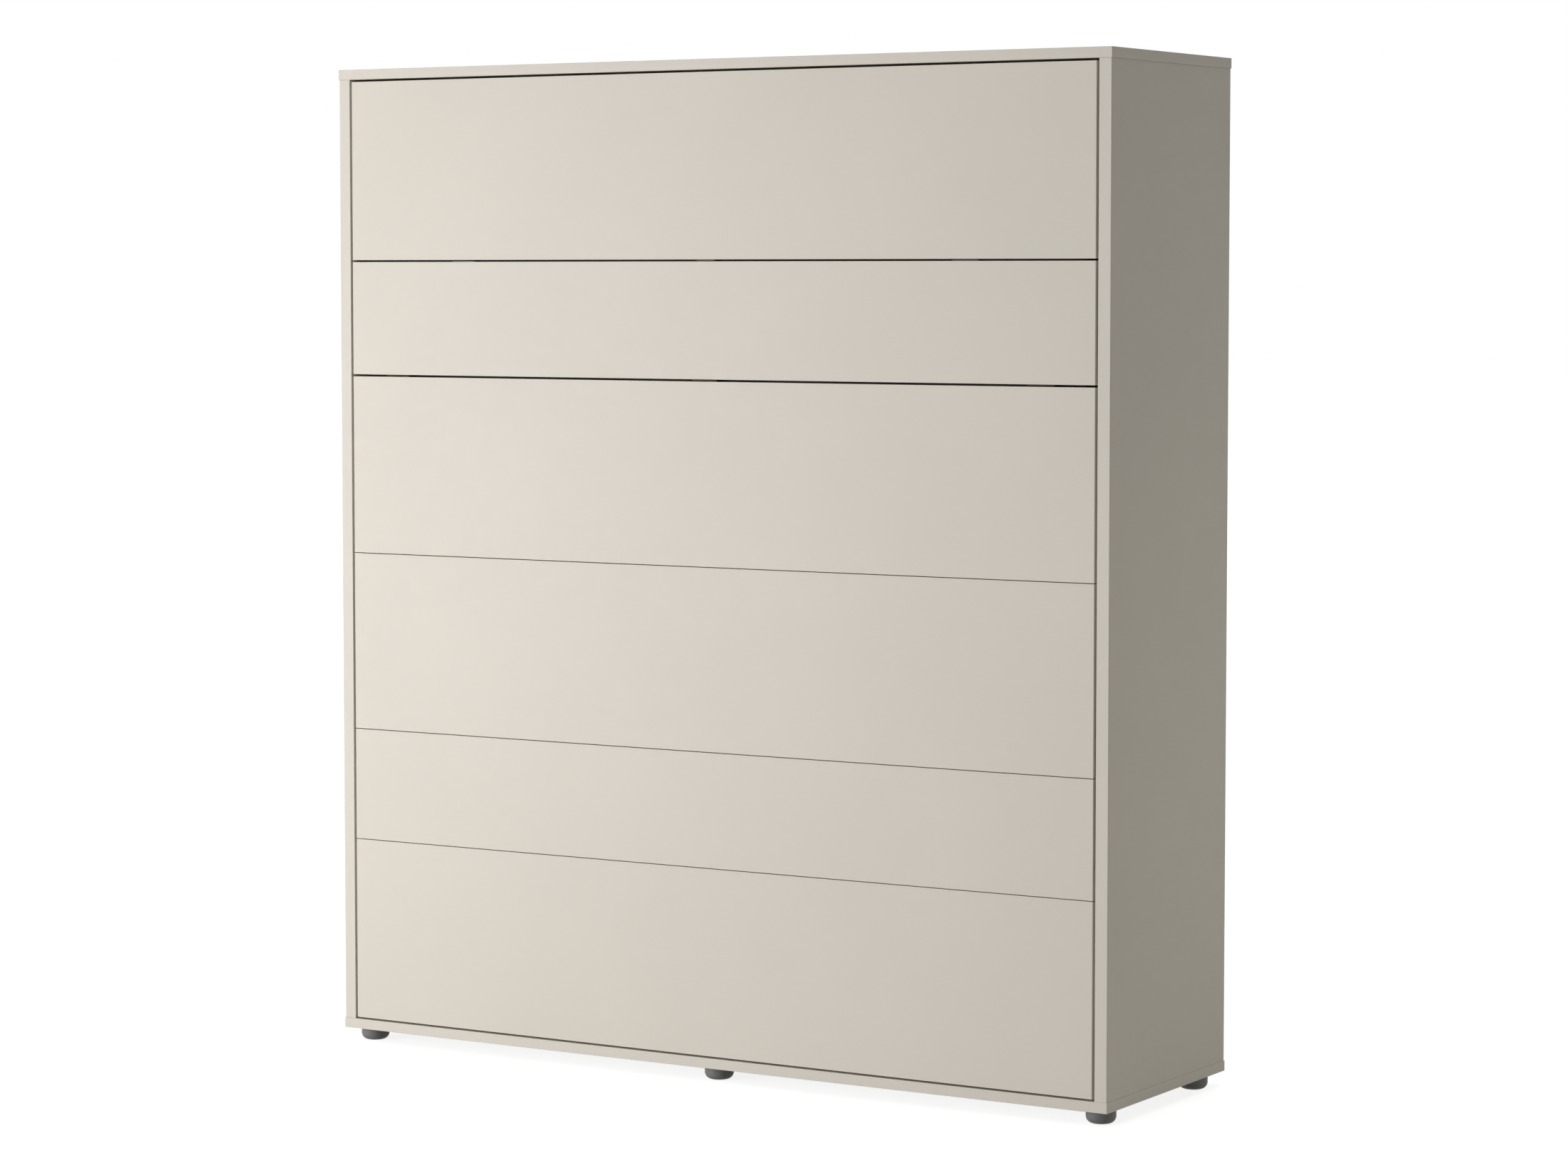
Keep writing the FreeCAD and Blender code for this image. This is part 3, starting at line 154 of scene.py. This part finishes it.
def laminate(colour):
    """Satin melamine facing: even colour, faint mottling and a fine pressed texture."""
    made, tree, shader = new_material("laminate", Specular_IOR_Level=0.2)
    point = place_of(tree)
    mottle = noise_at(tree, point, scale=3, detail=4)
    gloss = noise_at(tree, point, scale=40, detail=3)
    grain = noise_at(tree, point, scale=900, detail=2)
    paint(tree, shader, remap(tree, mottle, 0, 1), *shades(colour, spread=0.012))
    roughen(tree, shader, gloss, low=0.44, high=0.52)
    bump(tree, shader, grain, strength=0.05, distance=0.2 * MM)
    return made


def plated_steel(name, dark, light):
    """Plated steel with drawn streaks."""
    made, tree, shader = new_material(name, Metallic=1.0)
    streaks = noise_at(tree, place_of(tree, scale=(30, 400, 400)), scale=1, detail=5)
    paint(tree, shader, remap(tree, streaks, 0, 1), dark, light)
    roughen(tree, shader, streaks, low=0.28, high=0.46)
    bump(tree, shader, streaks, strength=0.08, distance=0.1 * MM)
    return made


def powder_coat(name, colour, roughness):
    """Baked powder paint with its orange-peel skin."""
    made, tree, shader = new_material(name, Specular_IOR_Level=0.15)
    point = place_of(tree)
    clouds = noise_at(tree, point, scale=25, detail=3)
    gloss = noise_at(tree, point, scale=120, detail=2)
    peel = noise_at(tree, point, scale=650, detail=2)
    paint(tree, shader, remap(tree, clouds, 0, 1), *shades(colour, spread=0.12))
    roughen(tree, shader, gloss, low=roughness - 0.06, high=roughness + 0.06)
    bump(tree, shader, peel, strength=0.15, distance=0.2 * MM)
    return made


def moulded(name, colour, roughness, grain):
    """Moulded plastic or rubber with a spark-eroded grain of a given strength."""
    made, tree, shader = new_material(name, Specular_IOR_Level=0.4)
    point = place_of(tree)
    clouds = noise_at(tree, point, scale=60, detail=3)
    gloss = noise_at(tree, point, scale=200, detail=2)
    pits = noise_at(tree, point, scale=1200, detail=2)
    paint(tree, shader, remap(tree, clouds, 0, 1), *shades(colour, spread=0.08))
    roughen(tree, shader, gloss, low=roughness - 0.05, high=roughness + 0.08)
    bump(tree, shader, pits, strength=grain, distance=0.15 * MM)
    return made


def bronze(dark, light):
    """Sintered bearing bronze."""
    made, tree, shader = new_material("bronze", Metallic=1.0)
    point = place_of(tree)
    specks = noise_at(tree, point, scale=700, detail=3)
    gloss = noise_at(tree, point, scale=300, detail=2)
    paint(tree, shader, remap(tree, specks, 0, 1), dark, light)
    roughen(tree, shader, gloss, low=0.3, high=0.45)
    return made


def slat_wood(dark, light):
    """Lacquered beech: grain along the slat and short dark flecks."""
    made, tree, shader = new_material("slat_wood", Coat_Weight=0.25, Coat_Roughness=0.3)
    grain = noise_at(tree, place_of(tree, scale=(3, 90, 90)), scale=1.6, detail=6)
    flecks = noise_at(tree, place_of(tree, scale=(60, 700, 700)), scale=1, detail=2)
    fleck_shade = remap(tree, flecks, 0.75, 1, source=(0.3, 0.5))
    paint(tree, shader, multiply(tree, remap(tree, grain, 0.2, 1), fleck_shade), dark, light)
    roughen(tree, shader, grain, low=0.36, high=0.5)
    bump(tree, shader, flecks, strength=0.1, distance=0.2 * MM)
    return made


def ticking(dark, light):
    """Woven mattress cover: crossing threads, soft sheen and uneven yarn."""
    made, tree, shader = new_material("ticking", Roughness=0.85, Specular_IOR_Level=0.15,
                                      Sheen_Weight=0.25, Sheen_Roughness=0.5)
    point = place_of(tree)
    thread_pitch = 1.8 * MM
    weave = multiply(tree, bands_at(tree, point, thread_pitch, "X"), bands_at(tree, point, thread_pitch, "Z"))
    yarn = noise_at(tree, place_of(tree, scale=(40, 40, 700)), scale=1, detail=3)
    weave_shade = remap(tree, weave, 0.45, 1, source=FULL_SPAN)
    paint(tree, shader, multiply(tree, weave_shade, remap(tree, yarn, 0.8, 1)), dark, light)
    bump(tree, shader, weave, strength=0.35, distance=0.5 * MM)
    return made


def webbing(dark, light):
    """Strap webbing: a tight slanting twill with a dull sheen."""
    made, tree, shader = new_material("webbing", Roughness=0.7, Specular_IOR_Level=0.25, Sheen_Weight=0.2)
    twill_pitch = 2.4 * MM
    slant = bands_at(tree, place_of(tree, rotation=(0, math.radians(45), 0)), twill_pitch, "X")
    cross = bands_at(tree, place_of(tree), twill_pitch / 2, "Z")
    twill = multiply(tree, slant, remap(tree, cross, 0.5, 1, source=FULL_SPAN))
    paint(tree, shader, twill, dark, light)
    bump(tree, shader, twill, strength=0.5, distance=0.5 * MM)
    return made


def chrome(dark, light):
    """Hard chromed rod, nearly a mirror, with hair-fine rings from grinding."""
    made, tree, shader = new_material("rod_chrome", Metallic=1.0)
    rings = noise_at(tree, place_of(tree, scale=(5, 5, 1500)), scale=1, detail=2)
    paint(tree, shader, remap(tree, rings, 0, 1), dark, light)
    roughen(tree, shader, rings, low=0.08, high=0.16)
    return made


MATERIALS = {
    "laminate": laminate((0.67, 0.625, 0.555)),
    "zinc_steel": plated_steel("zinc_steel", dark=(0.46, 0.46, 0.47), light=(0.6, 0.6, 0.61)),
    "hinge_steel": plated_steel("hinge_steel", dark=(0.022, 0.019, 0.014), light=(0.042, 0.037, 0.027)),
    "frame_paint": powder_coat("frame_paint", (0.016, 0.015, 0.014), roughness=0.62),
    "grey_plastic": moulded("grey_plastic", (0.17, 0.17, 0.165), roughness=0.55, grain=0.12),
    "black_plastic": moulded("black_plastic", (0.03, 0.03, 0.031), roughness=0.48, grain=0.15),
    "catch_plastic": moulded("catch_plastic", (0.035, 0.035, 0.028), roughness=0.6, grain=0.12),
    "rubber": moulded("rubber", (0.025, 0.025, 0.025), roughness=0.75, grain=0.25),
    "bronze": bronze(dark=(0.42, 0.27, 0.12), light=(0.6, 0.41, 0.2)),
    "slat_wood": slat_wood(dark=(0.33, 0.2, 0.1), light=(0.66, 0.47, 0.29)),
    "ticking": ticking(dark=(0.6, 0.59, 0.56), light=(0.84, 0.83, 0.81)),
    "webbing": webbing(dark=(0.02, 0.02, 0.022), light=(0.085, 0.085, 0.09)),
    "spring_black": powder_coat("spring_black", (0.02, 0.02, 0.021), roughness=0.3),
    "rod_chrome": chrome(dark=(0.7, 0.7, 0.71), light=(0.8, 0.8, 0.81)),
}


def dress(thing, slot):
    thing.data.materials.clear()
    thing.data.materials.append(MATERIALS[slot])


for row in frame["record"]["subparts"]:
    dress(frame["nodes"][row["node"]], row["material_slot"])


def piece_from(name, data, body, slot, *stands_for):
    """A finished piece that rides on a body, has a slot's material and stands for CAD nodes."""
    piece = bpy.data.objects.new(name, data)
    scene.collection.objects.link(piece)
    dress(piece, slot)
    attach(piece, body)
    if stands_for:
        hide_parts(*stands_for)
    return piece


# Mattress

MATTRESS_ROUND = 24 * MM
QUILT_DEPTH = 12 * MM
BORDER_DEPTH = 6 * MM
# Size of a mesh cell, and the number of cells across one diamond of the quilting
CELL = 22 * MM
QUILT_CELLS = 8
# How the cover is blown up between its stitches
SIM_FRAMES = 20
PRESSURE = 60.0
STRETCH = 4.0
CREASE_HEIGHT = 0.5 * MM
CREASE_RATE = 35
# The rolled tape along both rims of the mattress
TAPE_RADIUS = 5 * MM
TAPE_RESOLUTION = 3
TAPE_CORNER_STEPS = 6
DIAGONAL = math.sqrt(0.5)


def mattress_core():
    """The box through the stitches of the mattress, a little inside its full size."""
    low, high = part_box("mattress")
    inset = Vector((BORDER_DEPTH, QUILT_DEPTH, BORDER_DEPTH))
    return low + inset, high - inset


def surface_lattice(counts):
    """The points and quads on the surface of a box of counts cells."""
    index, points, quads = {}, [], []

    def corner(point):
        if point not in index:
            index[point] = len(points)
            points.append(point)
        return index[point]

    for axis in range(3):
        second, third = (axis + 1) % 3, (axis + 2) % 3
        for side in (0, counts[axis]):
            for i in range(counts[second]):
                for j in range(counts[third]):
                    quad = []
                    for di, dj in ((0, 0), (1, 0), (1, 1), (0, 1)):
                        point = [0, 0, 0]
                        point[axis], point[second], point[third] = side, i + di, j + dj
                        quad.append(corner(tuple(point)))
                    quads.append(quad if side else quad[::-1])
    return points, quads


def rounded_point(point, low, high, radius):
    """A point of a box's surface, moved onto the same box with rounded edges."""
    inner = Vector(min(max(point[a], low[a] + radius), high[a] - radius) for a in range(3))
    return inner + (point - inner).normalized() * radius


def is_on_face(point, counts):
    """True on the two quilted faces, false on the border around them."""
    return point[1] in (0, counts[1])


def is_stitched(point, counts):
    """True on the diamond quilting of both faces, and on the seams and middle line of the border."""
    i, j, k = point
    if is_on_face(point, counts):
        on_rim = i in (0, counts[0]) or k in (0, counts[2])
        return on_rim or (i + k) % QUILT_CELLS == 0 or (i - k) % QUILT_CELLS == 0
    return j in (1, counts[1] // 2, counts[1] - 1)


def inflate(piece, stitches):
    """Blows the cover up between its stitches with cloth simulation."""
    group = piece.vertex_groups.new(name="stitches")
    group.add(stitches, 1.0, "REPLACE")
    cloth = piece.modifiers.new("puff", "CLOTH")
    cloth.settings.use_pressure = True
    cloth.settings.uniform_pressure_force = PRESSURE
    cloth.settings.tension_stiffness = STRETCH
    cloth.settings.compression_stiffness = STRETCH
    cloth.settings.vertex_group_mass = group.name
    cloth.settings.effector_weights.gravity = 0
    cloth.point_cache.frame_start = 1
    cloth.point_cache.frame_end = SIM_FRAMES
    for number in range(1, SIM_FRAMES + 1):
        scene.frame_set(number)
    blown = piece.evaluated_get(bpy.context.evaluated_depsgraph_get())
    places = [vertex.co.copy() for vertex in blown.data.vertices]
    piece.modifiers.remove(cloth)
    piece.vertex_groups.remove(group)
    scene.frame_set(1)
    return places


def blown_places(piece, lattice, counts):
    return inflate(piece, [i for i, point in enumerate(lattice) if is_stitched(point, counts)])


def make_mattress():
    """The quilted cover, blown up no further than the mattress's full size."""
    start, end = mattress_core()
    size = end - start
    counts = tuple(round(length / CELL) for length in size)
    lattice, quads = surface_lattice(counts)
    rest = []
    for point in lattice:
        place = start + Vector(size[a] * point[a] / counts[a] for a in range(3))
        rest.append(rounded_point(place, start, end, MATTRESS_ROUND))
    mesh = bpy.data.meshes.new("mattress_cover")
    mesh.from_pydata(rest, [], quads)
    mesh.update()
    piece = piece_from("mattress_cover", mesh, "bed", "ticking", "mattress")
    normals = [vertex.normal.copy() for vertex in mesh.vertices]
    blown = blown_places(piece, lattice, counts)
    for vertex, point, place, normal, blown_place in zip(mesh.vertices, lattice, rest, normals, blown):
        cap = QUILT_DEPTH if is_on_face(point, counts) else BORDER_DEPTH
        rise = min((blown_place - place).dot(normal), cap)
        crease = CREASE_HEIGHT * noise.noise(place * CREASE_RATE)
        vertex.co = place + normal * (rise + crease)
    mesh.shade_smooth()
    smooth = piece.modifiers.new("smooth", "SUBSURF")
    smooth.levels = 1
    smooth.render_levels = 1


def make_tape_edge(name, y):
    """The rolled tape sewn along one rim of the mattress."""
    start, end = mattress_core()
    bend = MATTRESS_ROUND * DIAGONAL
    left, right = start.x + MATTRESS_ROUND, end.x - MATTRESS_ROUND
    bottom, top = start.z + MATTRESS_ROUND, end.z - MATTRESS_ROUND
    points = []
    for quarter, (x, z) in enumerate(((right, top), (left, top), (left, bottom), (right, bottom))):
        for step in range(TAPE_CORNER_STEPS + 1):
            angle = math.radians(90 * quarter + 90 / TAPE_CORNER_STEPS * step)
            points.append((x + bend * math.cos(angle), y, z + bend * math.sin(angle), 1))
    curve = bpy.data.curves.new(name, "CURVE")
    curve.dimensions = "3D"
    curve.bevel_depth = TAPE_RADIUS
    curve.bevel_resolution = TAPE_RESOLUTION
    spline = curve.splines.new("POLY")
    spline.points.add(len(points) - 1)
    for target, point in zip(spline.points, points):
        target.co = point
    spline.use_cyclic_u = True
    piece_from(name, curve, "bed", "ticking")


def make_tape_edges():
    start, end = mattress_core()
    crest = MATTRESS_ROUND * (1 - DIAGONAL)
    make_tape_edge("tape_edge_front", start.y + crest)
    make_tape_edge("tape_edge_back", end.y - crest)


# Mattress straps

STRAP_WIDTH = 50 * MM
STRAP_THICKNESS = 1.8 * MM
STRAP_BEND = 28 * MM
STRAP_SIDE_STEPS = 12
STRAP_BEND_STEPS = 8
STRAP_TOP_STEPS = 40
# One face of the strap from edge to edge: the share of its half width and of its thickness
STRAP_PROFILE = ((-1, 0.75), (-0.92, 1), (-0.84, 0.85), (0, 0.8), (0.84, 0.85), (0.92, 1), (1, 0.75))


def strap_path():
    """The strap's line across the bed as (x, y) points, from one rail over the mattress to the other."""
    low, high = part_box("mattress_straps")
    half = high.x - STRAP_THICKNESS / 2
    back = high.y - STRAP_THICKNESS / 2
    bend_x = half - STRAP_BEND
    bend_y = back - STRAP_BEND
    right = [Vector((half, low.y + (bend_y - low.y) * step / STRAP_SIDE_STEPS))
             for step in range(STRAP_SIDE_STEPS + 1)]
    for step in range(1, STRAP_BEND_STEPS + 1):
        angle = math.radians(90 * step / STRAP_BEND_STEPS)
        right.append(Vector((bend_x + STRAP_BEND * math.cos(angle), bend_y + STRAP_BEND * math.sin(angle))))
    top = [Vector((bend_x - bend_x * 2 * step / STRAP_TOP_STEPS, back)) for step in range(1, STRAP_TOP_STEPS)]
    left = [Vector((-point.x, point.y)) for point in reversed(right)]
    return right + top + left


def strap_rings(path, height):
    """The strap's closed section, with its thicker woven edges, at each point of its path."""
    rings = []
    for i, point in enumerate(path):
        before, after = path[max(i - 1, 0)], path[min(i + 1, len(path) - 1)]
        along = (after - before).normalized()
        out = Vector((along.y, -along.x, 0))
        ring = []
        for side, profile in ((1, STRAP_PROFILE), (-1, STRAP_PROFILE[::-1])):
            for share, thick in profile:
                place = Vector((point.x, point.y, height + share * STRAP_WIDTH / 2))
                ring.append(place + out * side * thick * STRAP_THICKNESS / 2)
        rings.append(ring)
    return rings


def closed_loft(name, rings):
    """A closed mesh through rings that have the same number of points."""
    shape = bmesh.new()
    corners = [[shape.verts.new(place) for place in ring] for ring in rings]
    count = len(corners[0])
    for first, second in zip(corners, corners[1:]):
        for j in range(count):
            k = (j + 1) % count
            shape.faces.new((first[j], first[k], second[k], second[j]))
    shape.faces.new(corners[0][::-1])
    shape.faces.new(corners[-1])
    bmesh.ops.recalc_face_normals(shape, faces=shape.faces)
    mesh = bpy.data.meshes.new(name)
    shape.to_mesh(mesh)
    shape.free()
    mesh.shade_smooth()
    return mesh


def make_strap(name, height):
    """One flat strap across the mattress, with its middle line at a height."""
    path = strap_path()
    mesh = closed_loft(name, strap_rings(path, height))
    piece = piece_from(name, mesh, "bed", "webbing", "mattress_straps")


make_mattress()
make_tape_edges()
strap_low, strap_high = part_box("mattress_straps")
make_strap("strap_lower", strap_low.z + STRAP_WIDTH / 2)
make_strap("strap_upper", strap_high.z - STRAP_WIDTH / 2)


# Floor and world

FLOOR_REACH = 60.0
# The floor's grey where light bounces off it, and its glow and grey where it is seen
FLOOR_BOUNCE = 0.55
FLOOR_GLOW = 0.85
FLOOR_VEIL = 0.4


def grey(level):
    return (level, level, level, 1)


def seen_directly(tree):
    """1 for rays from the camera and for mirror and glass rays, 0 for the light that falls on the object."""
    rays = add(tree, "ShaderNodeLightPath")
    total = rays.outputs["Is Camera Ray"]
    for name in ("Is Glossy Ray", "Is Transmission Ray"):
        largest = add(tree, "ShaderNodeMath", operation="MAXIMUM")
        tree.links.new(total, largest.inputs[0])
        tree.links.new(rays.outputs[name], largest.inputs[1])
        total = largest.outputs["Value"]
    return total


def make_world(ambient):
    """White to the eye, and a faint even light of a given strength on the object."""
    world = bpy.data.worlds.new("studio")
    world.use_nodes = True
    tree = world.node_tree
    background = tree.nodes["Background"]
    background.inputs["Color"].default_value = grey(1)
    strength = add(tree, "ShaderNodeMix", {"A": ambient, "B": 1.0}, data_type="FLOAT")
    tree.links.new(seen_directly(tree), strength.inputs["Factor"])
    tree.links.new(strength.outputs["Result"], background.inputs["Strength"])
    scene.world = world


def floor_material():
    """White to the eye, with the object's soft shadow, and a diffuse bounce for the light."""
    made = bpy.data.materials.new("floor")
    made.use_nodes = True
    tree = made.node_tree
    tree.nodes.remove(tree.nodes["Principled BSDF"])
    bounce = add(tree, "ShaderNodeBsdfDiffuse", {"Color": grey(FLOOR_BOUNCE)})
    glow = add(tree, "ShaderNodeEmission", {"Color": grey(1), "Strength": FLOOR_GLOW})
    veil = add(tree, "ShaderNodeBsdfDiffuse", {"Color": grey(FLOOR_VEIL)})
    bright = add(tree, "ShaderNodeAddShader")
    tree.links.new(glow.outputs[0], bright.inputs[0])
    tree.links.new(veil.outputs[0], bright.inputs[1])
    choice = add(tree, "ShaderNodeMixShader")
    tree.links.new(seen_directly(tree), choice.inputs["Fac"])
    tree.links.new(bounce.outputs[0], choice.inputs[1])
    tree.links.new(bright.outputs[0], choice.inputs[2])
    tree.links.new(choice.outputs[0], tree.nodes["Material Output"].inputs["Surface"])
    return made


def make_floor():
    mesh = bpy.data.meshes.new("floor")
    corners = [(x * FLOOR_REACH, y * FLOOR_REACH, 0) for x, y in ((-1, -1), (1, -1), (1, 1), (-1, 1))]
    mesh.from_pydata(corners, [], [(0, 1, 2, 3)])
    mesh.materials.append(floor_material())
    floor = bpy.data.objects.new("floor", mesh)
    scene.collection.objects.link(floor)


# Light

SUN_TARGET = (0, 0, 1)


def place_lamp(name, lamp, place, target):
    """Puts a lamp at a place and points it at a target."""
    thing = bpy.data.objects.new(name, lamp)
    thing.location = place
    thing.rotation_euler = (Vector(target) - thing.location).to_track_quat("-Z", "Y").to_euler()
    scene.collection.objects.link(thing)


def area_light(name, place, target, size, power, colour=(1, 1, 1)):
    lamp = bpy.data.lights.new(name, "AREA")
    lamp.shape = "SQUARE"
    lamp.color = colour
    lamp.size = size
    lamp.energy = power
    place_lamp(name, lamp, place, target)


def sun_light(name, place, strength, angle):
    """A soft sun that shines from the side of a place, as wide as an angle in degrees."""
    lamp = bpy.data.lights.new(name, "SUN")
    lamp.energy = strength
    lamp.angle = math.radians(angle)
    place_lamp(name, lamp, place, SUN_TARGET)


# Camera, at the photograph's viewing angle: metres, degrees and millimetres

CAMERA_PLACE = (4.8031, -7.8545, 1.7273)
CAMERA_YAW = 31.288
CAMERA_PITCH = 3.815
CAMERA_LENS = 97.152
CAMERA_SENSOR = 36
CAMERA_SHIFT = -0.02
CAMERA_FARTHEST = 200


def make_camera():
    lens = bpy.data.cameras.new("camera")
    lens.sensor_fit = "HORIZONTAL"
    lens.sensor_width = CAMERA_SENSOR
    lens.lens = CAMERA_LENS
    lens.shift_y = CAMERA_SHIFT
    lens.clip_end = CAMERA_FARTHEST
    camera = bpy.data.objects.new("camera", lens)
    camera.location = CAMERA_PLACE
    camera.rotation_euler = (math.radians(90 - CAMERA_PITCH), 0, math.radians(CAMERA_YAW))
    scene.collection.objects.link(camera)
    scene.camera = camera


make_world(ambient=0.08)
make_floor()
area_light("key", place=(-3.9, -5.0, 0.3), target=(-0.2, -0.27, 0.8), size=3.0, power=432)
area_light("low", place=(3.2, 0.6, 0.25), target=(0.96, 0.1, 0.5), size=1.2, power=9.5,
           colour=(1.0, 0.95, 0.74))
sun_light("fill", place=(-2.0, -6.0, 6.2), strength=0.6, angle=40)
sun_light("top", place=(0.0, 0.0, 9.0), strength=0.85, angle=60)
sun_light("back", place=(-1.5, 6.0, 3.0), strength=0.8, angle=60)
make_camera()
scene.view_settings.view_transform = "Standard"
